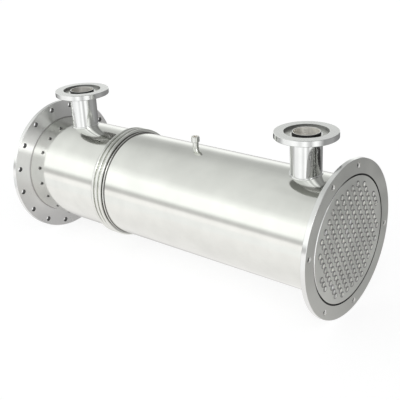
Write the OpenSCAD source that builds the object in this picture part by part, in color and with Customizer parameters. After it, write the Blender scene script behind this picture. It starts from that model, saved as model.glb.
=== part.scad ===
// Shell and tube heat exchanger with two fixed tubesheets.
// The shell lies along X. The origin is the centre of the rear tubesheet's outer face,
// +X runs towards the front tubesheet and +Z runs up along the two nozzles.
// All sizes are in millimetres.

/* [Shell] */
// Outside diameter of the shell
shell_d = 278; // [230:1:330]
// Wall of the shell
shell_wall = 2.5; // [2:0.1:4]
// Length between the inner faces of the tubesheets
shell_len = 931; // [850:1:1100]

/* [Tubesheets] */
// Width of the rear tubesheet outside the shell
rear_rim_w = 51; // [44:0.5:70]
// Thickness of the rear tubesheet
rear_plate_t = 12; // [10:0.5:20]
// Width of the front tubesheet outside the shell
front_rim_w = 48.5; // [42:0.5:70]
// Thickness of the front tubesheet
front_plate_t = 12; // [10:0.5:20]
// Width of the chamfer round the rims of the tubesheets
plate_chamfer = 1; // [0.4:0.1:2]
// Distance of the bolt holes' axes from the rim of their tubesheet
bolt_inset = 16; // [10:0.5:20]
// Diameter of the bolt holes
bolt_hole_d = 14; // [10:0.5:16]
// Number of bolt holes in the rear tubesheet
rear_bolts = 16; // [8:1:20]
// Angle of the front pair of holes that stand one above the other
front_upright_angle = 80; // [70:0.5:88]
// Angle of the front pair of holes that lie across from each other
front_across_angle = 172.5; // [150:0.5:180]
// Angle of the lone front hole on the upper near side
front_upper_angle = 117; // [100:0.5:140]
// Angle of the lone front hole on the lower near side
front_lower_angle = 233; // [215:0.5:255]

/* [Sealing groove] */
// Distance of the groove's middle outside the shell
groove_out = 11.5; // [6:0.5:14]
// Width of the groove
groove_w = 4; // [2:0.5:6]
// Depth of the groove
groove_depth = 3; // [1:0.5:5]

/* [Tubes] */
// Outside diameter of a tube
tube_d = 12; // [8:0.1:14]
// Wall of a tube
tube_wall = 1; // [0.5:0.1:2]
// Distance between the axes of neighbouring tubes in a row
tube_pitch = 16.2; // [14.5:0.1:20]
// Number of rows on each side of the middle row
side_rows = 6; // [3:1:7]
// Distance of the outermost rows inside the circle that limits the tubes' axes
outer_row_in = 2.3; // [1:0.1:8]
// Angle of the rows to the level line, seen from the front
row_angle = -61; // [-90:1:90]
// Length that a tube stands out of each tubesheet
tube_end = 1.5; // [0.5:0.1:4]

/* [Bellows] */
// Distance of the bellows from the rear tubesheet's inner face
bellows_in = 252; // [200:1:320]
// Length of the plain cuff at each end of the bellows
cuff_len = 3; // [1:0.5:10]
// Number of convolutions
convolutions = 3; // [2:1:6]
// Length of one convolution
convolution_pitch = 13.5; // [11:0.5:18]
// Wall of the bellows
bellows_wall = 1.6; // [1:0.1:2.2]
// Height of a crest above the shell
crest_rise = 9.5; // [8:0.5:16]

/* [Nozzles] */
// Distance of the rear nozzle's axis from the rear tubesheet's inner face
rear_nozzle_in = 99; // [80:1:160]
// Distance of the front nozzle's axis from the front tubesheet's inner face
front_nozzle_in = 103; // [80:1:200]
// Height of the nozzles' top faces above the shell's axis
nozzle_top = 237.5; // [210:0.5:280]
// Outside diameter of a neck
neck_d = 73; // [60:0.1:90]
// Wall of a neck
neck_wall = 6.5; // [5.5:0.1:9]
// Width of the step turned on a neck's end, inside its flange's recess
neck_step = 4; // [2:0.1:4.5]
// Depth of a neck's end below its flange's top face
neck_drop = 0.5; // [0:0.5:4]
// Diameter of a nozzle's flange
flange_d = 147; // [120:1:170]
// Thickness of a nozzle's flange
flange_t = 14; // [10:0.5:20]
// Width of the flat ring round the recess in a flange's top face
recess_rim_w = 22.5; // [15:0.5:23]
// Depth of the recess
recess_depth = 7; // [5:0.5:9]
// Width of the chamfer round the rims of a flange
flange_chamfer = 1; // [0.4:0.1:2]

/* [Vent] */
// Distance of the vent's axis from the rear tubesheet's inner face
vent_in = 504; // [380:1:600]
// Height of the vent above the shell
vent_rise = 30; // [24:0.5:50]
// Outside diameter of the stub
stub_d = 15; // [12:0.5:18]
// Bore of the stub
stub_bore_d = 9; // [6:0.5:10]
// Outside diameter of the socket on the stub
socket_d = 21; // [19:0.5:28]
// Height of the socket
socket_h = 14; // [8:0.5:18]
// Bore of the socket
socket_bore_d = 11.5; // [10.5:0.1:14]
// Width of the chamfer round the rims of the socket
socket_chamfer = 1; // [0.4:0.1:2]

/* [Clearances] */
// Gap all round a tube in its hole
tube_gap = 0.1; // [0.05:0.05:0.3]
// Least gap between the outer tubes and the shell
bundle_gap = 0.4; // [0.2:0.1:4]
// Gap between the shell and what is welded onto it
weld_gap = 0.2; // [0.1:0.05:0.3]
// Gap all round a neck in its flange
neck_gap = 0.1; // [0.05:0.05:0.3]

/* [Hidden] */
$fn = 96;
tube_fn = 24;
bend_fn = 32;
// Length that a cut runs past the face where it starts or ends
cut_over = 1;
steel = [0.80, 0.81, 0.80];
satin_steel = [0.60, 0.59, 0.57];
tube_steel = [0.70, 0.70, 0.69];

shell_r = shell_d / 2;
shell_in_r = shell_r - shell_wall;
rear_plate_r = shell_r + rear_rim_w;
front_plate_r = shell_r + front_rim_w;
rear_bolt_r = rear_plate_r - bolt_inset;
front_bolt_r = front_plate_r - bolt_inset;
groove_r = shell_r + groove_out;

// Stations along X
rear_inner_x = rear_plate_t;
front_inner_x = rear_inner_x + shell_len;
front_outer_x = front_inner_x + front_plate_t;
bellows_len = 2 * cuff_len + convolutions * convolution_pitch;
bellows_x = rear_inner_x + bellows_in;
bellows_end_x = bellows_x + bellows_len;
rear_nozzle_x = rear_inner_x + rear_nozzle_in;
front_nozzle_x = front_inner_x - front_nozzle_in;
vent_x = rear_inner_x + vent_in;

// Heights above the axis
neck_top = nozzle_top - neck_drop;
vent_top = shell_r + vent_rise;
stub_top = vent_top - socket_h;
recess_floor = nozzle_top - recess_depth;
neck_bore_d = neck_d - 2 * neck_wall;
neck_tip_d = neck_d - 2 * neck_step;
recess_r = flange_d / 2 - recess_rim_w;

// Bellows: bends of one radius join straight flanks
bend_r = convolution_pitch / 4;
crest_r = shell_r + crest_rise;
crest_centre_r = crest_r - bend_r - bellows_wall / 2;
root_centre_r = shell_in_r + bend_r + bellows_wall / 2;

// Tubes stand in tilted rows, spread over the shell's bore and staggered by half a pitch
tube_r = tube_d / 2;
tube_hole_r = tube_r + tube_gap;
bundle_r = shell_in_r - bundle_gap - tube_r;
row_step = (bundle_r - outer_row_in) / side_rows;
all_rows = [-side_rows : side_rows];

// Places along a row, from its middle: an odd row is shifted by half a pitch
most_places = ceil(bundle_r / tube_pitch);
function row_shift(row) = abs(row) % 2 * tube_pitch / 2;
function row_reach(row) = sqrt(bundle_r * bundle_r - pow(row * row_step, 2));
function row_places(row) = [
    for (i = [-most_places : most_places])
        if (abs(i * tube_pitch + row_shift(row)) <= row_reach(row))
            i * tube_pitch + row_shift(row)
];
function row_name(row) =
    row == 0 ? "tube_row_middle" : str("tube_row_", row > 0 ? "right_" : "left_", abs(row));

front_bolt_angles = [
    front_upright_angle, -front_upright_angle,
    front_across_angle, front_across_angle + 180,
    front_upper_angle, front_lower_angle
];
rear_bolt_angles = [for (i = [0 : rear_bolts - 1]) (i + 0.5) * 360 / rear_bolts];

// Turns a shape that stands on Z so that it lies along X, starting at x
module along_x(x) {
    translate([x, 0, 0]) rotate([0, 90, 0]) children();
}

// A round plate whose two rims are chamfered
module chamfered_disc(r, t, chamfer) {
    rotate_extrude()
        polygon([
            [0, 0],
            [r - chamfer, 0],
            [r, chamfer],
            [r, t - chamfer],
            [r - chamfer, t],
            [0, t]
        ]);
}

// Round cuts along X at a list of angles on a bolt circle
module bolt_cuts(x, len, circle_r, angles) {
    for (a = angles)
        translate([0, circle_r * cos(a), circle_r * sin(a)])
            along_x(x) cylinder(d = bolt_hole_d, h = len);
}

// Puts a shape along X, starting at x, at each place of one row of tubes
module at_row_places(row, x) {
    rotate([row_angle, 0, 0])
        for (place = row_places(row))
            translate([0, place, row * row_step]) along_x(x) children();
}

// Round cuts along X where the tubes pass
module tube_cuts(x, len) {
    for (row = all_rows)
        at_row_places(row, x) cylinder(r = tube_hole_r, h = len, $fn = tube_fn);
}

// Ring-shaped cut of the sealing groove
module groove_cut(x, len) {
    along_x(x) difference() {
        cylinder(r = groove_r + groove_w / 2, h = len);
        translate([0, 0, -cut_over])
            cylinder(r = groove_r - groove_w / 2, h = len + 2 * cut_over);
    }
}

// A drilled tubesheet from x to x + t, with its groove on the outer side
module tubesheet(r, x, t, bolt_r, angles, groove_x) {
    cut_x = x - cut_over;
    cut_len = t + 2 * cut_over;
    difference() {
        along_x(x) chamfered_disc(r, t, plate_chamfer);
        bolt_cuts(cut_x, cut_len, bolt_r, angles);
        tube_cuts(cut_x, cut_len);
        groove_cut(groove_x, groove_depth + cut_over);
    }
}

module rear_tubesheet() {
    color(satin_steel)
        tubesheet(rear_plate_r, 0, rear_plate_t, rear_bolt_r, rear_bolt_angles, -cut_over);
}

module front_tubesheet() {
    groove_x = front_outer_x - groove_depth;
    color(satin_steel)
        tubesheet(
            front_plate_r, front_inner_x, front_plate_t, front_bolt_r, front_bolt_angles,
            groove_x
        );
}

// An open course of the shell
module shell_course(x, len) {
    along_x(x) difference() {
        cylinder(r = shell_r, h = len);
        translate([0, 0, -cut_over]) cylinder(r = shell_in_r, h = len + 2 * cut_over);
    }
}

// An upright round cut through the top of the shell
module top_hole(x, d) {
    translate([x, 0, 0]) cylinder(d = d, h = shell_r + cut_over);
}

module rear_shell() {
    color(steel) difference() {
        shell_course(rear_inner_x, bellows_in);
        top_hole(rear_nozzle_x, neck_bore_d);
    }
}

module main_shell() {
    color(steel) difference() {
        shell_course(bellows_end_x, front_inner_x - bellows_end_x);
        top_hole(front_nozzle_x, neck_bore_d);
        top_hole(vent_x, stub_bore_d);
    }
}

// Half of a bend of the bellows' wall: side 1 bulges out, side -1 bulges in
module bend(side) {
    size = 4 * bend_r;
    intersection() {
        difference() {
            circle(r = bend_r + bellows_wall / 2, $fn = bend_fn);
            circle(r = bend_r - bellows_wall / 2, $fn = bend_fn);
        }
        translate([side > 0 ? 0 : -size, -size / 2]) square(size);
    }
}

// Radial section of the bellows: radius along x, length along y
module bellows_section() {
    first = cuff_len + convolution_pitch / 2;
    last_root = bellows_len - cuff_len;
    for (i = [0 : convolutions - 1]) {
        crest = first + i * convolution_pitch;
        translate([crest_centre_r, crest]) bend(1);
        for (side = [-1, 1])
            translate([root_centre_r, crest + side * bend_r - bellows_wall / 2])
                square([crest_centre_r - root_centre_r, bellows_wall]);
    }
    for (i = [1 : convolutions - 1])
        translate([root_centre_r, cuff_len + i * convolution_pitch]) bend(-1);
    intersection() {
        for (y = [cuff_len, last_root])
            translate([root_centre_r, y]) bend(-1);
        translate([0, cuff_len]) square([crest_r, last_root - cuff_len]);
    }
    for (y = [0, last_root])
        translate([shell_in_r, y]) square([bellows_wall, cuff_len]);
}

module bellows() {
    color(steel) along_x(bellows_x) rotate_extrude() bellows_section();
}

// A pipe that stands on the shell's curve at x
module saddle_pipe(x, d, bore_d, top) {
    difference() {
        translate([x, 0, 0]) cylinder(d = d, h = top);
        translate([x, 0, -cut_over]) cylinder(d = bore_d, h = top + 2 * cut_over);
        along_x(x - d) cylinder(r = shell_r + weld_gap, h = 2 * d);
    }
}

// A nozzle's flange: a thick ring round the neck, recessed round the neck's end
module nozzle_flange(x) {
    translate([x, 0, nozzle_top - flange_t]) difference() {
        chamfered_disc(flange_d / 2, flange_t, flange_chamfer);
        translate([0, 0, -cut_over])
            cylinder(r = neck_d / 2 + neck_gap, h = flange_t + 2 * cut_over);
        translate([0, 0, flange_t - recess_depth])
            cylinder(r = recess_r, h = recess_depth + cut_over);
    }
}

// A nozzle's neck: a pipe on the shell, turned down to a narrower tip inside the flange's recess
module neck(x) {
    saddle_pipe(x, neck_d, neck_bore_d, recess_floor);
    translate([x, 0, recess_floor]) difference() {
        cylinder(d = neck_tip_d, h = neck_top - recess_floor);
        translate([0, 0, -cut_over])
            cylinder(d = neck_bore_d, h = neck_top - recess_floor + 2 * cut_over);
    }
}

module rear_neck() {
    color(steel) neck(rear_nozzle_x);
}

module rear_nozzle_flange() {
    color(steel) nozzle_flange(rear_nozzle_x);
}

module front_neck() {
    color(steel) neck(front_nozzle_x);
}

module front_nozzle_flange() {
    color(steel) nozzle_flange(front_nozzle_x);
}

module vent_stub() {
    color(steel) saddle_pipe(vent_x, stub_d, stub_bore_d, stub_top);
}

module vent_socket() {
    color(steel) translate([vent_x, 0, stub_top]) difference() {
        chamfered_disc(socket_d / 2, socket_h, socket_chamfer);
        translate([0, 0, -cut_over])
            cylinder(d = socket_bore_d, h = socket_h + 2 * cut_over);
    }
}

// The separate tubes of one row
module tube_row(row) {
    len = front_outer_x + 2 * tube_end;
    color(tube_steel) at_row_places(row, -tube_end) difference() {
        cylinder(r = tube_r, h = len, $fn = tube_fn);
        translate([0, 0, -cut_over])
            cylinder(r = tube_r - tube_wall, h = len + 2 * cut_over, $fn = tube_fn);
    }
}

rear_tubesheet();
front_tubesheet();
rear_shell();
main_shell();
bellows();
rear_neck();
rear_nozzle_flange();
front_neck();
front_nozzle_flange();
vent_stub();
vent_socket();
for (row = all_rows)
    tube_row(row);
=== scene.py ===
# %% [markdown]
# # Dressing a shell and tube heat exchanger
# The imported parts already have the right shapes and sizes. This lesson gives them polished and satin
# steel, runs weld beads along the joints, seals the tube ends and lights the exchanger in a white studio.
# Every length is in metres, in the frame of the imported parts: X along the shell, Z up.

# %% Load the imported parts
import math

import bpy
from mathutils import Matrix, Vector


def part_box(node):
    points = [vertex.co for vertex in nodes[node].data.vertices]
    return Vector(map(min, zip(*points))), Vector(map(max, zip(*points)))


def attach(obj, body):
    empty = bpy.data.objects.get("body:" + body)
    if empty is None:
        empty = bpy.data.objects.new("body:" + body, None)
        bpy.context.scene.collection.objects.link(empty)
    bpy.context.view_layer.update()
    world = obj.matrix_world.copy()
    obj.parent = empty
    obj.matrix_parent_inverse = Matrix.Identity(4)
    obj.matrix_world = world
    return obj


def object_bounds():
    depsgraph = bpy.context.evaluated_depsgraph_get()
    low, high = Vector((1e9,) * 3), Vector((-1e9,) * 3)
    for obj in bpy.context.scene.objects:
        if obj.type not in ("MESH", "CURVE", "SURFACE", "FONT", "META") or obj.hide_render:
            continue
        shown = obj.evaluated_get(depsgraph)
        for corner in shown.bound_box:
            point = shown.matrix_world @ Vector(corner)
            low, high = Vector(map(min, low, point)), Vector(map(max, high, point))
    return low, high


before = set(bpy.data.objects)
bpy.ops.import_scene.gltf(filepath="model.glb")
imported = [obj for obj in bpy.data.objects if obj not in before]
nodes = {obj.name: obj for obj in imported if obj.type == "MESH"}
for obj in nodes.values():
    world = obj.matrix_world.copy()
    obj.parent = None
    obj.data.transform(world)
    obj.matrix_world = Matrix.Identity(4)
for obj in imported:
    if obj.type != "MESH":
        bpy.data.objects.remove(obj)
cad_box = [list(corner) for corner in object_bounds()]
print("Loaded", len(nodes), "nodes in the box", [[round(v, 4) for v in c] for c in cad_box])

# %% [markdown]
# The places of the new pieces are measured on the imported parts, and none is typed in. A node's box
# gives the two corners of a part, which is enough for parts that are round about the X or the Z axis.

# %% Measure the parts
MM = 0.001


def span(node, axis):
    """Lowest and highest place of a node along one axis, 0 for X, 1 for Y and 2 for Z."""
    low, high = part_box(node)
    return low[axis], high[axis]


def upright_axis(node):
    """The x of the axis and the radius of a part that stands round Z."""
    low, high = span(node, 0)
    return (low + high) / 2, (high - low) / 2


shell_r = span("main_shell", 2)[1]
rear_outer_x, rear_inner_x = span("rear_tubesheet", 0)
front_inner_x, front_outer_x = span("front_tubesheet", 0)
rear_nozzle_x = upright_axis("rear_neck")[0]
front_nozzle_x, neck_r = upright_axis("front_neck")
vent_x, stub_r = upright_axis("vent_stub")
floor_z = cad_box[0][2]
print(f"Shell radius {shell_r / MM:.1f} mm, neck radius {neck_r / MM:.1f} mm")

# %% [markdown]
# The camera stands to the front and right of the exchanger, a little above it. A camera can be placed by
# eye in the viewport, but the place, the turn and the long lens all change the picture at once. So these
# come from a fit, in which the round edges of the plates had to fall where the picture has them.

# %% Camera
CAMERA_PLACE = (1.7081, -1.3917, 0.7658)
CAMERA_TURN = (67.197, 2.702, 39.330)
CAMERA_LENS = 69.24
SENSOR_WIDTH = 36

bpy.ops.object.camera_add(location=CAMERA_PLACE, rotation=[math.radians(a) for a in CAMERA_TURN])
camera = bpy.context.object
camera.name = "camera"
camera.data.lens = CAMERA_LENS
camera.data.sensor_width = SENSOR_WIDTH
bpy.context.scene.camera = camera
print("Camera at", CAMERA_PLACE, "with a lens of", CAMERA_LENS, "mm")

# %% [markdown]
# A tree of nodes can be wired by hand in the shader editor. In a script a few small helpers keep it short:
# the first adds a node and sets or links its inputs, and the others stand for the nodes that come back most.

# %% Helpers for node trees
MIX_SHARE, MIX_FIRST, MIX_SECOND, MIX_RESULT = 0, 6, 7, 2


def new_node(tree, kind, inputs=None, **settings):
    """Adds a node, sets its options, and sets or links its inputs by name or number."""
    node = tree.nodes.new(kind)
    for name, value in settings.items():
        setattr(node, name, value)
    for name, value in (inputs or {}).items():
        if isinstance(value, bpy.types.NodeSocket):
            tree.links.new(value, node.inputs[name])
        else:
            node.inputs[name].default_value = value
    return node


def combined(tree, operation, first, second):
    """One number from two."""
    return new_node(tree, "ShaderNodeMath", {0: first, 1: second}, operation=operation).outputs["Value"]


def share_between(tree, value, low, high, kind="SMOOTHSTEP", first=0.0, last=1.0):
    """Maps a value from the stretch between low and high to the one between first and last."""
    inputs = {"Value": value, "From Min": low, "From Max": high, "To Min": first, "To Max": last}
    return new_node(tree, "ShaderNodeMapRange", inputs, interpolation_type=kind).outputs["Result"]


def blend_colours(tree, share, first, second, kind="MIX"):
    """Mixes two colours, each a socket or a value."""
    inputs = {MIX_SHARE: share, MIX_FIRST: first, MIX_SECOND: second}
    return new_node(tree, "ShaderNodeMix", inputs, data_type="RGBA", blend_type=kind).outputs[MIX_RESULT]


def blend_shaders(tree, share, first, second):
    """Mixes two shaders."""
    return new_node(tree, "ShaderNodeMixShader", {"Fac": share, 1: first, 2: second}).outputs["Shader"]


def level_ramp(tree, share, levels):
    """A ramp from pairs of a place between 0 and 1 and a colour."""
    ramp = new_node(tree, "ShaderNodeValToRGB", {"Fac": share})
    stops = ramp.color_ramp.elements
    while len(stops) < len(levels):
        stops.new(0.5)
    for stop, (place, colour) in zip(stops, levels):
        stop.position = place
        stop.color = (*colour, 1)
    return ramp.outputs["Color"]


print("Node helpers are ready")

# %% [markdown]
# Polished steel has no colour of its own to speak of: it shows the room. So the room matters more than
# any lamp here, and the world is a studio painted by direction. The shell lies level, so it shows the room
# by height: a pale floor, a thin grey line where floor and wall meet, a bright wall on the camera's side and
# a grey ceiling. One ramp gives the brightness by height on the camera's side and one on the far side. The
# floor is a little warm and the walls are a little green, as the steel shows them.

# %% Floor, walls and ceiling of the studio
FLOOR_TINT = (1.008, 0.99, 0.985)
WALL_TINT = (0.994, 1.004, 0.986)
CAMERA_SIDE = [
    (-90, 0.70), (-60, 0.73), (-36, 0.78), (-22, 0.83), (-8, 0.88), (-6, 0.83), (-3.5, 0.58),
    (-1, 0.50), (1.5, 0.56), (4, 0.77), (7, 0.97), (24, 1.0), (29, 0.88), (36, 0.72), (50, 0.65),
    (58, 0.62), (68, 0.35), (90, 0.25),
]
FAR_SIDE = [
    (-90, 0.70), (-50, 0.74), (-44, 0.70), (-38, 0.54), (-30, 0.46), (-24, 0.40), (-12, 0.45),
    (-6, 0.60), (0, 0.82), (6, 0.88), (10, 0.83), (14, 0.68), (19, 0.54), (24, 0.46), (29, 0.42),
    (38, 0.44), (45, 0.50), (52, 0.56), (58, 0.56), (68, 0.35), (90, 0.25),
]
CAMERA_AZIMUTH = -100
SIDE_FADE = 0.35


def direction(azimuth, elevation):
    """A unit vector; azimuth runs from +X towards +Y."""
    a, e = math.radians(azimuth), math.radians(elevation)
    return Vector((math.cos(a) * math.cos(e), math.sin(a) * math.cos(e), math.sin(e)))


def share_towards(tree, ray, towards, edge, full):
    """A share from 0 to 1 of how far a ray points towards a direction, between two cosines."""
    dot = new_node(tree, "ShaderNodeVectorMath", {0: ray, 1: towards}, operation="DOT_PRODUCT")
    return share_between(tree, dot.outputs["Value"], edge, full)


def tinted(levels):
    """The stops of a ramp from straight down to straight up, from pairs of an elevation and a level."""
    stops = []
    for degrees, level in levels:
        tint = FLOOR_TINT if degrees < 0 else WALL_TINT
        stops.append(((math.sin(math.radians(degrees)) + 1) / 2, [level * t for t in tint]))
    return stops


world = bpy.data.worlds.new("studio")
world.use_nodes = True
bpy.context.scene.world = world
room = world.node_tree
room.nodes.clear()
ray = new_node(room, "ShaderNodeTexCoord").outputs["Generated"]
ray_x, ray_y, ray_z = new_node(room, "ShaderNodeSeparateXYZ", {"Vector": ray}).outputs
height = share_between(room, ray_z, -1, 1, "LINEAR")
near_walls = level_ramp(room, height, tinted(CAMERA_SIDE))
far_walls = level_ramp(room, height, tinted(FAR_SIDE))
near_share = share_towards(room, ray, direction(CAMERA_AZIMUTH, 0), -SIDE_FADE, SIDE_FADE)
walls = blend_colours(room, near_share, far_walls, near_walls)
counts = f"{len(CAMERA_SIDE)} levels on the camera's side and {len(FAR_SIDE)} on the far side"
print("Walls painted with", counts)

# %% [markdown]
# The necks stand upright, so they show the room by the compass and not by height, and so do the plates.
# Upright streaks of light and dark give them their stripes. A shell that lies level, seen from the front,
# only shows the back half of the room, so the streaks can fill the front half without touching it. In the
# back half they keep to a low strip, which the edges of the necks pick up.

# %% Upright streaks
STREAKS = [
    (-180, 0.22), (-170, 0.32), (-158, 0.45), (-150, 0.62), (-143, 0.80), (-124, 0.82), (-114, 0.88),
    (-104, 0.95), (-92, 0.92), (-84, 0.78), (-78, 0.72), (-72, 0.85), (-65, 1.0), (-59, 0.97), (-52, 0.66),
    (-42, 0.50), (-34, 0.85), (-27, 1.0), (-19, 0.92), (-11, 0.65), (-3, 0.42), (6, 0.24), (14, 0.28),
    (45, 0.30), (57, 0.24), (88, 0.20), (105, 0.15), (120, 0.10), (140, 0.05), (165, 0.07), (180, 0.22),
]
FRONT_FADE = (-0.25, 0.1)
LOW_STRIP = (-12, -15)
STREAK_FOOT = (-28, -23)
STREAK_TOP = (65, 55)


def share_by_height(start, end):
    """A share that grows from one elevation to another."""
    return share_between(room, ray_z, math.sin(math.radians(start)), math.sin(math.radians(end)))


angle = combined(room, "ARCTAN2", ray_y, ray_x)
turn = share_between(room, angle, -math.pi, math.pi, "LINEAR")
streaks = level_ramp(room, turn, [((degrees + 180) / 360, (v, v, v)) for degrees, v in STREAKS])
in_front = share_between(room, ray_x, *FRONT_FADE)
front_or_low = combined(room, "MAXIMUM", in_front, share_by_height(*LOW_STRIP))
band = combined(room, "MULTIPLY", share_by_height(*STREAK_FOOT), share_by_height(*STREAK_TOP))
studio = blend_colours(room, combined(room, "MULTIPLY", front_or_low, band), walls, streaks)
print("Streaks painted with", len(STREAKS), "levels")

# %% [markdown]
# Two round patches finish the room. A bright window makes the bright sector on the brushed rear plate, and
# a dark doorway at the far end gives depth to what faces that way. Each patch is given by its direction, its
# level, and the angles from its middle where it begins and ends to fade.

# %% Window and doorway
WINDOW = ((-33, 24), 4.0, 4, 9)
DOORWAY = ((-172, 12), 0.2, 8, 16)

for towards, level, full, edge in (WINDOW, DOORWAY):
    cosines = math.cos(math.radians(edge)), math.cos(math.radians(full))
    patch = share_towards(room, ray, direction(*towards), *cosines)
    studio = blend_colours(room, patch, studio, (level, level, level, 1))
    print("Patch towards", towards, "at level", level)

# %% [markdown]
# The camera itself sees plain white where there is no steel. The Light Path node tells a ray from the
# camera from the rays that light the steel and show in it, so the picture is white and the steel still
# has its room.

# %% White to the camera
STUDIO_LEVEL = 1.3
WHITE = (1, 1, 1, 1)

lit = new_node(room, "ShaderNodeBackground", {"Color": studio, "Strength": STUDIO_LEVEL})
white = new_node(room, "ShaderNodeBackground", {"Color": WHITE, "Strength": 1.0})
seen = new_node(room, "ShaderNodeLightPath").outputs["Is Camera Ray"]
shown = blend_shaders(room, seen, lit.outputs["Background"], white.outputs["Background"])
new_node(room, "ShaderNodeOutputWorld", {"Surface": shown})
bpy.context.scene.view_settings.view_transform = "Standard"
print("Studio world with", len(room.nodes), "nodes")

# %% [markdown]
# The exchanger has no feet, so it lies on the rims of its two plates. The floor is a wide plane at that
# height. To the camera it is mostly plain white, with a share of ordinary matt shading that takes the
# soft shadow. Reflections skip it, because the world below the horizon already is the pale floor. An
# operator acts on all that is selected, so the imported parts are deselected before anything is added.

# %% Floor
FLOOR_SIZE = 12
FLOOR_PAINT = (0.95, 0.95, 0.96, 1)
FLOOR_GLOW = 1.2
SHADOW_SHARE = 0.35


def clear_selection():
    """Leaves nothing selected for the next operator."""
    bpy.ops.object.select_all(action="DESELECT")


clear_selection()
bpy.ops.mesh.primitive_plane_add(size=FLOOR_SIZE, location=(front_inner_x / 2, 0, floor_z))
floor = bpy.context.object
floor.name = "floor"
floor.visible_glossy = False
paint = bpy.data.materials.new("white_floor")
paint.use_nodes = True
coat = paint.node_tree
coat.nodes.clear()
matt = new_node(coat, "ShaderNodeBsdfDiffuse", {"Color": FLOOR_PAINT}).outputs["BSDF"]
plain = new_node(coat, "ShaderNodeEmission", {"Color": WHITE, "Strength": FLOOR_GLOW}).outputs["Emission"]
new_node(coat, "ShaderNodeOutputMaterial", {"Surface": blend_shaders(coat, SHADOW_SHARE, plain, matt)})
floor.data.materials.append(paint)
print("Floor at", round(floor_z, 4))

# %% [markdown]
# Every piece here was turned or polished round an axis, so its fine lines are rings round that axis. An
# image of brushed steel would show seams on a round part. So one procedural finish serves all of them: it
# measures how far a point lies from the axis and how far along it. The same two lengths mark off zones,
# such as a bore or a rim, that have a tone and a roughness of their own.

# %% Measures round an axis
ZONE_EDGE = 0.2 * MM


def ring_coordinates(tree, axis, centre):
    """A point's place, its ring as a vector, and its two lengths; axis is "X" or "Z"."""
    place = new_node(tree, "ShaderNodeTexCoord").outputs["Object"]
    turn = (0, -math.pi / 2, 0) if axis == "X" else (0, 0, 0)
    away = (0, 0, 0) if axis == "X" else (-centre, 0, 0)
    mapped = new_node(tree, "ShaderNodeMapping", {"Vector": place, "Rotation": turn, "Location": away})
    x, y, along = new_node(tree, "ShaderNodeSeparateXYZ", {"Vector": mapped.outputs["Vector"]}).outputs
    flat = new_node(tree, "ShaderNodeCombineXYZ", {"X": x, "Y": y}).outputs["Vector"]
    radius = new_node(tree, "ShaderNodeVectorMath", {0: flat}, operation="LENGTH").outputs["Value"]
    ring = new_node(tree, "ShaderNodeCombineXYZ", {"X": radius, "Z": along}).outputs["Vector"]
    return place, ring, {"radius": radius, "along": along}


def zone(tone, roughness, **limits):
    """A finish of its own between a low and a high "radius", or place "along" the axis, or both."""
    return limits, tone, roughness


def inside_zone(tree, measures, limits):
    """1 where every limited measure lies between its low and high value, 0 elsewhere, with soft edges."""
    share = 1.0
    for name, (low, high) in limits.items():
        rising = share_between(tree, measures[name], low - ZONE_EDGE, low)
        falling = share_between(tree, measures[name], high + ZONE_EDGE, high)
        for part in (rising, falling):
            share = combined(tree, "MULTIPLY", part, share)
    return share


print(f"Zones end softly, over {ZONE_EDGE / MM} mm")

# %% [markdown]
# The finish itself feeds the rings to a fine noise. On a pipe that gives lines round it, and on a flat face
# it gives circles. The lines vary the roughness and stand up a few thousandths of a millimetre. Where they
# are coarse, they also stretch a reflection across themselves, which is what the grain is for. A slower
# noise adds the clouds that hands and cloths leave.

# %% A finish of turned steel
LINE_SCALE, LINE_DETAIL = 700, 3
LINE_DEPTH, LINE_STRENGTH = 0.004 * MM, 0.5
CLOUD_SCALE, CLOUD_DETAIL = 14, 4
NOISE_LOW, NOISE_HIGH = 0.3, 0.7
CLOUD_TONE = (0.94, 1.03)
SMUDGE = (0.85, 1.15)
ACROSS_LINES = 0.25


def turned_steel(name, tone, roughness, axis="X", centre=0.0, grain=0.0, zones=()):
    """A metal with fine rings round an axis; roughness is a low and a high value."""
    material = bpy.data.materials.new(name)
    material.use_nodes = True
    tree = material.node_tree
    tree.nodes.clear()
    place, ring, measures = ring_coordinates(tree, axis, centre)
    line_noise = {"Vector": ring, "Scale": LINE_SCALE, "Detail": LINE_DETAIL}
    cloud_noise = {"Vector": place, "Scale": CLOUD_SCALE, "Detail": CLOUD_DETAIL}
    lines = new_node(tree, "ShaderNodeTexNoise", line_noise).outputs["Fac"]
    clouds = new_node(tree, "ShaderNodeTexNoise", cloud_noise).outputs["Fac"]
    colour = (*tone, 1)
    gloss = share_between(tree, lines, NOISE_LOW, NOISE_HIGH, "LINEAR", *roughness)
    for limits, zone_tone, zone_roughness in zones:
        mask = inside_zone(tree, measures, limits)
        colour = blend_colours(tree, mask, colour, (*zone_tone, 1))
        mixed = new_node(tree, "ShaderNodeMix", {"Factor": mask, "A": gloss, "B": zone_roughness})
        gloss = mixed.outputs["Result"]
    cloudy = share_between(tree, clouds, NOISE_LOW, NOISE_HIGH, "LINEAR", *CLOUD_TONE)
    smudges = share_between(tree, clouds, NOISE_LOW, NOISE_HIGH, "LINEAR", *SMUDGE)
    relief = {"Height": lines, "Strength": LINE_STRENGTH, "Distance": LINE_DEPTH}
    surface = {
        "Base Color": blend_colours(tree, 1.0, colour, cloudy, "MULTIPLY"),
        "Metallic": 1.0,
        "Roughness": combined(tree, "MULTIPLY", gloss, smudges),
        "Anisotropic": grain,
        "Anisotropic Rotation": ACROSS_LINES,
        "Normal": new_node(tree, "ShaderNodeBump", relief).outputs["Normal"],
    }
    if grain:
        around = new_node(tree, "ShaderNodeTangent", direction_type="RADIAL", axis=axis)
        surface["Tangent"] = around.outputs["Tangent"]
    metal = new_node(tree, "ShaderNodeBsdfPrincipled", surface)
    new_node(tree, "ShaderNodeOutputMaterial", {"Surface": metal.outputs["BSDF"]})
    return material


print("The turned finish is ready")

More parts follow.
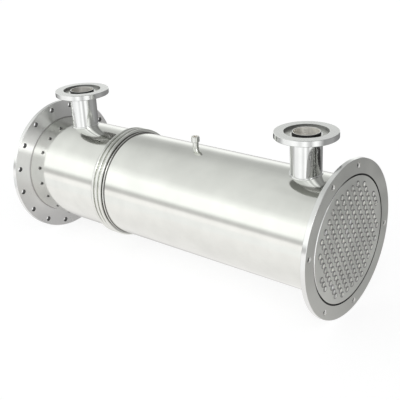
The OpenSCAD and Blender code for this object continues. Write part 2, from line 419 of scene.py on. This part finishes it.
# %% [markdown]
# The shell is rolled from sheet in two courses, with the bellows between them, and all three are polished
# on the outside until they mirror the room. So they take the plain finish, with low roughness and no zone.

# %% Finish of the shell and the bellows
SHELL = (0.80, 0.81, 0.775)

shell_steel = turned_steel("shell_steel", SHELL, (0.07, 0.12))
print("The shell's steel has", len(shell_steel.node_tree.nodes), "nodes")

# %% [markdown]
# A nozzle is a polished neck with a flange on it. Inside the neck the pipe was never polished, and it is a
# little darker in the rear one. The outer wall of the neck's tip is painted black as painted shade in the
# recess. The flange's recess wall and its underside are painted dark as painted shade. All of these are
# zones, by lengths that are measured on the points of the imported parts.

# %% Finishes of the nozzles and the vent
POLISHED = (0.80, 0.81, 0.80)
SATIN = (0.70, 0.71, 0.678)
# A dark machined tone. On the flange's recess wall and underside and on the plates' backs it is painted
# shade; on the tubes' cut ends it is their machined tone.
MACHINED_AND_SHADE = (0.36, 0.36, 0.352)
UNPOLISHED = (0.98, 0.96, 0.91)
SCALED = (0.82, 0.805, 0.765)
# Near black: painted shade round the neck's tip in the recess and in the front plate's groove
PAINTED_SHADE = (0.05, 0.05, 0.05)
FAR = 10.0
AT_HEIGHT = 0.1 * MM
SKIN = 0.3 * MM
TIP_BAND = 0.4 * MM
UNDER_EDGE = 0.5 * MM


def radii_at(node, x, z):
    """The smallest and the largest distance of a node's points at one height from the upright axis at x."""
    points = [v.co for v in nodes[node].data.vertices if abs(v.co.z - z) <= AT_HEIGHT]
    lengths = [math.hypot(p.x - x, p.y) for p in points]
    return min(lengths), max(lengths)


def nozzle_steels(side, x, bore_tone):
    """The finishes of a neck and of its flange."""
    under, top = span(side + "_nozzle_flange", 2)
    bore_r, tip_r = radii_at(side + "_neck", x, span(side + "_neck", 2)[1])
    recess_r = radii_at(side + "_nozzle_flange", x, top)[0]
    neck_zones = (
        zone(bore_tone, 0.6, radius=(0, bore_r + SKIN)),
        # painted shade: the outer wall of the tip, down in the recess, painted black
        zone(PAINTED_SHADE, 0.5, radius=(tip_r - TIP_BAND, tip_r + TIP_BAND)),
    )
    flange_zones = (
        zone(SATIN, 0.35, radius=(0, recess_r - TIP_BAND)),
        # painted shade on the recess wall
        zone(MACHINED_AND_SHADE, 0.45, radius=(recess_r - TIP_BAND, recess_r + SKIN)),
        # painted shade on the flange's underside
        zone(MACHINED_AND_SHADE, 0.3, along=(-FAR, under + UNDER_EDGE)),
        zone(POLISHED, 0.25, along=(top - SKIN, FAR)),
    )
    sizes = f"bore {bore_r / MM:.1f}, tip {tip_r / MM:.1f}, recess {recess_r / MM:.1f}"
    print(f"{side} nozzle: {sizes} mm in radius")
    neck = turned_steel(side + "_neck_steel", POLISHED, (0.06, 0.12), "Z", x, grain=0.8, zones=neck_zones)
    flange = turned_steel(side + "_flange_steel", POLISHED, (0.1, 0.16), "Z", x, zones=flange_zones)
    return neck, flange


rear_neck_steel, rear_flange_steel = nozzle_steels("rear", rear_nozzle_x, SCALED)
front_neck_steel, front_flange_steel = nozzle_steels("front", front_nozzle_x, UNPOLISHED)
vent_bore_r = radii_at("vent_socket", vent_x, span("vent_socket", 2)[1])[0]
in_vent = zone(UNPOLISHED, 0.9, radius=(0, vent_bore_r + SKIN))
vent_steel = turned_steel("vent_steel", SATIN, (0.08, 0.14), "Z", vent_x, zones=(in_vent,))
print(f"Vent: bore {vent_bore_r / MM:.1f} mm in radius")

# %% [markdown]
# The plates were faced on a lathe. Their rims are cut smooth, and the walls of the bolt holes and the side
# away from the camera are painted dark as painted shade. The rear plate has a coarse grain, which makes its
# bright sector. On the front plate the face inside the groove is a little lighter, the holes have pale
# mouths as a painted highlight above painted shade deeper in, and the groove is painted dark as painted
# shade. A material for each face would do this too, but zones leave the imported mesh as it is.

# %% Finishes of the plates
BRUSHED = (0.88, 0.88, 0.87)
FIELD = (0.77, 0.782, 0.747)
PAINTED_HOLE_SHADE = (0.12, 0.12, 0.12)
PALE = (0.995, 0.995, 0.98)
FACE = 0.2 * MM
RIM_WIDTH = 3 * MM
RIM_MARGIN = 10 * MM
MOUTH_DEPTH = 4.2 * MM
LEAST_FLOOR = 1 * MM


def plate_zones(node):
    """A smooth rim, and holes and a back painted dark as painted shade."""
    low, high = span(node, 0)
    inner_r = span(node, 2)[1] - RIM_WIDTH
    through = (low + SKIN, high - SKIN)
    return [
        zone(POLISHED, 0.1, along=through, radius=(inner_r, FAR)),
        # painted shade: the walls of the holes painted near black
        zone(PAINTED_HOLE_SHADE, 0.35, along=through, radius=(0, inner_r)),
        # painted shade on the side away from the camera
        zone(MACHINED_AND_SHADE, 0.14, along=(-FAR, low + FACE)),
    ]


def groove_sizes(node):
    """The x of the floor, and the inner and outer radius, of the groove in a plate's outer face."""
    low, high = span(node, 0)
    points = [v.co for v in nodes[node].data.vertices if low + LEAST_FLOOR < v.co.x < high - AT_HEIGHT]
    most = span(node, 2)[1] - RIM_MARGIN
    inside = [(p.x, math.hypot(p.y, p.z)) for p in points if math.hypot(p.y, p.z) < most]
    lengths = [r for _, r in inside]
    return min(x for x, _ in inside), min(lengths), max(lengths)


groove_x, groove_r, groove_outer_r = groove_sizes("front_tubesheet")
mouth_r = span("front_tubesheet", 2)[1] - RIM_WIDTH
front_zones = plate_zones("front_tubesheet") + [
    # painted highlight: the mouths of the holes are painted pale, above the painted shade deeper in
    zone(PALE, 0.8, along=(front_outer_x - MOUTH_DEPTH, front_outer_x - SKIN), radius=(0, mouth_r)),
    zone(FIELD, 0.42, along=(front_outer_x - FACE, FAR), radius=(0, groove_r)),
    # painted shade: the groove painted near black
    zone(PAINTED_SHADE, 0.4, along=(front_inner_x + LEAST_FLOOR, FAR), radius=(groove_r, groove_outer_r)),
]
rear_plate_steel = turned_steel(
    "rear_tubesheet_steel", BRUSHED, (0.30, 0.36), grain=1.0, zones=plate_zones("rear_tubesheet"))
front_plate_steel = turned_steel("front_tubesheet_steel", SATIN, (0.38, 0.46), grain=0.5, zones=front_zones)
print(f"Front groove from {groove_r / MM:.1f} to {groove_outer_r / MM:.1f} mm in radius")

# %% [markdown]
# The tubes are drawn, not polished, so they are pale and matt inside, and their cut ends are darker. The
# weld beads are duller than the polish round them, and the root in front of the bellows is darker still.
# They differ only in tone and roughness, so the same finish serves with other values.

# %% Finishes of the tubes and the welds
WELD = (0.42, 0.41, 0.40)
ROOT = (0.16, 0.155, 0.15)

tube_start, tube_end = span("tube_row_middle", 0)
cut_ends = (
    zone(MACHINED_AND_SHADE, 0.4, along=(tube_end - FACE, FAR)),
    zone(MACHINED_AND_SHADE, 0.4, along=(-FAR, tube_start + FACE)),
)
tube_steel = turned_steel("tube_steel", PALE, (0.9, 1.0), zones=cut_ends)
weld_steel = turned_steel("weld_steel", WELD, (0.25, 0.4))
root_steel = turned_steel("root_steel", ROOT, (0.1, 0.16))
print("Finishes:", [m.name for m in bpy.data.materials])

# %% [markdown]
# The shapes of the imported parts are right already, so none is modelled again. Each one keeps its mesh and
# takes, in its material slot, the finish that belongs to its axis.

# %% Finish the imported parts
FINISHES = {
    "rear_shell": shell_steel, "main_shell": shell_steel, "bellows": shell_steel,
    "rear_neck": rear_neck_steel, "rear_nozzle_flange": rear_flange_steel,
    "front_neck": front_neck_steel, "front_nozzle_flange": front_flange_steel,
    "vent_stub": vent_steel, "vent_socket": vent_steel,
    "rear_tubesheet": rear_plate_steel, "front_tubesheet": front_plate_steel,
}
for name, node in nodes.items():
    node.material_slots[0].material = FINISHES.get(name, tube_steel)
print("Finished", len(nodes), "packed parts")

# %% [markdown]
# Where the polished parts meet, a welder ran a bead round the joint, and it was then ground smooth. A bead
# is a small round section carried along the joint. Round the shell that path is a plain circle, so a circle
# of eight corners is spun about the axis. A torus would do as well, but spinning shows how any section,
# also one that isn't round, can be carried round.

# %% Beads spun round an axis
BEAD_CORNERS = 8
ALONG_SHELL, UPRIGHT = (1, 0, 0), (0, 0, 1)
SAME_POINT = 0.01 * MM


def keep_piece(piece, name, material):
    """Names a finished piece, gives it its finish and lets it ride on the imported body."""
    piece.name = name
    piece.data.name = name
    piece.data.materials.clear()
    piece.data.materials.append(material)
    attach(piece, "root")
    triangles = sum(len(p.vertices) - 2 for p in piece.data.polygons)
    print(f"{name}: {triangles} triangles")


def tidy_mesh():
    """Closes the seam of a spun or swept mesh and turns its faces outwards; edit mode."""
    bpy.ops.mesh.select_all(action="SELECT")
    bpy.ops.mesh.remove_doubles(threshold=SAME_POINT)
    bpy.ops.mesh.normals_make_consistent(inside=False)


def spun_bead(name, place, size, material, axis, centre=(0, 0, 0), steps=96):
    """A bead through a place in the plane of X and Z, carried once round an axis."""
    clear_selection()
    bpy.ops.mesh.primitive_circle_add(
        vertices=BEAD_CORNERS, radius=size, location=place, rotation=(math.pi / 2, 0, 0))
    piece = bpy.context.object
    bpy.ops.object.transform_apply()
    bpy.ops.object.mode_set(mode="EDIT")
    bpy.ops.mesh.select_all(action="SELECT")
    bpy.ops.mesh.spin(steps=steps, angle=2 * math.pi, center=centre, axis=axis)
    tidy_mesh()
    bpy.ops.object.mode_set(mode="OBJECT")
    bpy.ops.object.shade_smooth()
    keep_piece(piece, name, material)


bellows_start, bellows_end = span("bellows", 0)
for name, x, sunk, size, steel in (
    ("rear_plate_bead", rear_inner_x, 0, 2 * MM, weld_steel),
    ("front_plate_bead", front_inner_x, 0, 2 * MM, weld_steel),
    ("bellows_rear_seam", bellows_start, 0.7 * MM, 1.2 * MM, shell_steel),
    ("bellows_front_seam", bellows_end, 0, 1.8 * MM, root_steel),
):
    spun_bead(name, (x, 0, shell_r - sunk), size, steel, ALONG_SHELL)

# %% [markdown]
# The groove round the tubes takes a sealing ring. Its inner wall slopes and is turned bright, so it
# catches the light on one side. A section could be spun for it as for the beads, but a cone without its
# ends already has that slope, and Solidify gives it the thickness of a ring.

# %% Sloped wall of the groove
WALL_SLOPE = 1.6 * MM
WALL_THICKNESS = 0.6 * MM
WALL_CORNERS = 128
WALL_CREASE = 40

clear_selection()
bpy.ops.mesh.primitive_cone_add(
    vertices=WALL_CORNERS, radius1=groove_r + WALL_SLOPE, radius2=groove_r, depth=front_outer_x - groove_x,
    end_fill_type="NOTHING", location=((front_outer_x + groove_x) / 2, 0, 0), rotation=(0, math.pi / 2, 0),
)
wall = bpy.context.object
bpy.ops.object.transform_apply()
bpy.ops.object.modifier_add(type="SOLIDIFY")
wall.modifiers[0].thickness = WALL_THICKNESS
bpy.ops.object.modifier_apply(modifier=wall.modifiers[0].name)
bpy.ops.object.mode_set(mode="EDIT")
tidy_mesh()
bpy.ops.object.mode_set(mode="OBJECT")
bpy.ops.object.shade_smooth_by_angle(angle=math.radians(WALL_CREASE))
groove_steel = turned_steel("groove_steel", POLISHED, (0.1, 0.16))
keep_piece(wall, "front_groove_wall", groove_steel)
print(f"Groove {(front_outer_x - groove_x) / MM:.1f} mm deep")

# %% [markdown]
# The nozzle flanges are welded to their necks from below, and the small socket sits on its stub in the
# same way. These beads lie flat, so they are spun about the upright axis of their own nozzle.

# %% Beads under the flanges and the socket
for name, x, radius, above, size, steel, steps in (
    ("rear_flange_bead", rear_nozzle_x, neck_r, "rear_nozzle_flange", 2.2 * MM, rear_neck_steel, 64),
    ("front_flange_bead", front_nozzle_x, neck_r, "front_nozzle_flange", 2.2 * MM, front_neck_steel, 64),
    ("vent_socket_bead", vent_x, stub_r, "vent_socket", 1.2 * MM, vent_steel, 32),
):
    spun_bead(name, (x + radius, 0, span(above, 2)[0]), size, steel, UPRIGHT, (x, 0, 0), steps)

# %% [markdown]
# A neck meets the shell along a saddle-shaped line. Working that line out by hand is possible, but a
# shrinkwrap finds it: a flat circle as wide as the neck is dropped straight down onto the shell, and the
# line where it lands becomes a curve with a round bevel.

# %% Saddle beads round the necks and the stub
BEVEL_STEPS = 2


def saddle_bead(name, x, radius, size, shell, material, points):
    """A bead along the line where an upright pipe stands on the shell."""
    clear_selection()
    bpy.ops.mesh.primitive_circle_add(vertices=points, radius=radius, location=(x, 0, 2 * shell_r))
    line = bpy.context.object
    bpy.ops.object.transform_apply()
    bpy.ops.object.modifier_add(type="SHRINKWRAP")
    wrap = line.modifiers[0]
    wrap.wrap_method = "PROJECT"
    wrap.use_project_z = True
    wrap.use_positive_direction = False
    wrap.use_negative_direction = True
    wrap.target = nodes[shell]
    bpy.ops.object.modifier_apply(modifier=wrap.name)
    bpy.ops.object.convert(target="CURVE")
    curve = bpy.context.object
    curve.data.bevel_depth = size
    curve.data.bevel_resolution = BEVEL_STEPS
    bpy.ops.object.convert(target="MESH")
    bpy.ops.object.mode_set(mode="EDIT")
    tidy_mesh()
    bpy.ops.object.mode_set(mode="OBJECT")
    bpy.ops.object.shade_smooth()
    keep_piece(bpy.context.object, name, material)


saddle_bead("rear_neck_bead", rear_nozzle_x, neck_r, 2.5 * MM, "rear_shell", rear_neck_steel, 96)
saddle_bead("front_neck_bead", front_nozzle_x, neck_r, 2.5 * MM, "main_shell", front_neck_steel, 96)
saddle_bead("vent_bead", vent_x, stub_r, 1.5 * MM, "main_shell", vent_steel, 48)

# %% [markdown]
# Each tube stands a little out of both plates and is sealed there by a thin ring of weld, which makes the
# dark ring that shows round every bright tube end. First the rows are measured. The farthest point at the
# front end of the middle row gives their direction, to a fraction of a degree. The width of the whole row
# across that direction therefore comes out a little larger than a tube, and it serves as the inner width
# of a ring, which then goes over its tube with some room.

# %% Measure the rows of tubes
row_ends = [v.co for v in nodes["tube_row_middle"].data.vertices if v.co.x > front_outer_x]
far_end = max(row_ends, key=lambda p: math.hypot(p.y, p.z))
along_row = Vector((0, far_end.y, far_end.z)).normalized()
across_row = Vector((1, 0, 0)).cross(along_row)
reach = [p.dot(across_row) for p in row_ends]
ring_r = (max(reach) - min(reach)) / 2
tube_out = far_end.x - front_outer_x
print(f"Rings {2 * ring_r / MM:.2f} mm wide inside, for tubes that stand out by {tube_out / MM:.2f} mm")

# %% [markdown]
# There are hundreds of rings, so one is modelled with few faces: a circle is extruded in three steps, up to
# a narrower circle, up to the inner width, and back down to the plate, and its two open edges are bridged.
# Each step is a share of the tubes' stand-out and a width beyond the inner one.

# %% One seal ring
RING_CORNERS = 14
RING_FOOT = 1.1 * MM
RING_STEPS = ((0.6, 0.6 * MM), (0.3, 0), (-0.9, 0))
RING_CREASE = 50

clear_selection()
width = ring_r + RING_FOOT
bpy.ops.mesh.primitive_circle_add(vertices=RING_CORNERS, radius=width, rotation=(0, math.pi / 2, 0))
ring = bpy.context.object
bpy.ops.object.transform_apply()
bpy.ops.object.mode_set(mode="EDIT")
bpy.ops.mesh.select_all(action="SELECT")
for rise, beyond in RING_STEPS:
    bpy.ops.mesh.extrude_edges_move(TRANSFORM_OT_translate={"value": (rise * tube_out, 0, 0)})
    share = (ring_r + beyond) / width
    bpy.ops.transform.resize(value=(1, share, share), center_override=(0, 0, 0))
    width = ring_r + beyond
bpy.ops.mesh.select_all(action="DESELECT")
bpy.ops.mesh.select_non_manifold()
bpy.ops.mesh.bridge_edge_loops()
tidy_mesh()
bpy.ops.object.mode_set(mode="OBJECT")
bpy.ops.object.shade_smooth_by_angle(angle=math.radians(RING_CREASE))
print("One ring has", len(ring.data.polygons), "faces")

# %% [markdown]
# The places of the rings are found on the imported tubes: the points at the front end of a row are sorted
# along the row, and every wider gap starts the next tube. Each copy has a mesh of its own, and all copies
# on a plate are then joined to one piece.

# %% Seal rings on both plates
LEAST_GAP = 2 * MM
SEAL = (0.33, 0.332, 0.322)


def tube_places():
    """The y and z of each tube's axis."""
    places = []
    for name in sorted(n for n in nodes if n.startswith("tube_row")):
        ends = [v.co for v in nodes[name].data.vertices if v.co.x > front_outer_x]
        levels = [p.dot(across_row) for p in ends]
        level = (min(levels) + max(levels)) / 2
        stations = sorted(p.dot(along_row) for p in ends)
        first = stations[0]
        for here, after in zip(stations, stations[1:] + [math.inf]):
            if after - here > LEAST_GAP:
                centre = along_row * (first + here) / 2 + across_row * level
                places.append((centre.y, centre.z))
                first = after
    return places


def seal_rings(name, x, turn, material):
    """Copies the ring to every tube on one plate and joins the copies."""
    clear_selection()
    copies = []
    for y, z in tube_places():
        copy = ring.copy()
        copy.data = ring.data.copy()
        copy.location = (x, y, z)
        copy.rotation_euler = (0, 0, turn)
        bpy.context.scene.collection.objects.link(copy)
        copy.select_set(True)
        copies.append(copy)
    bpy.context.view_layer.objects.active = copies[0]
    bpy.ops.object.join()
    bpy.ops.object.transform_apply()
    keep_piece(copies[0], name, material)
    return len(copies)


seal_steel = turned_steel("seal_steel", SEAL, (0.4, 0.55))
front_count = seal_rings("front_seal_rings", front_outer_x, 0, seal_steel)
rear_count = seal_rings("rear_seal_rings", rear_outer_x, math.pi, seal_steel)
bpy.data.objects.remove(ring)
print("Seal rings:", front_count, "in front and", rear_count, "behind")
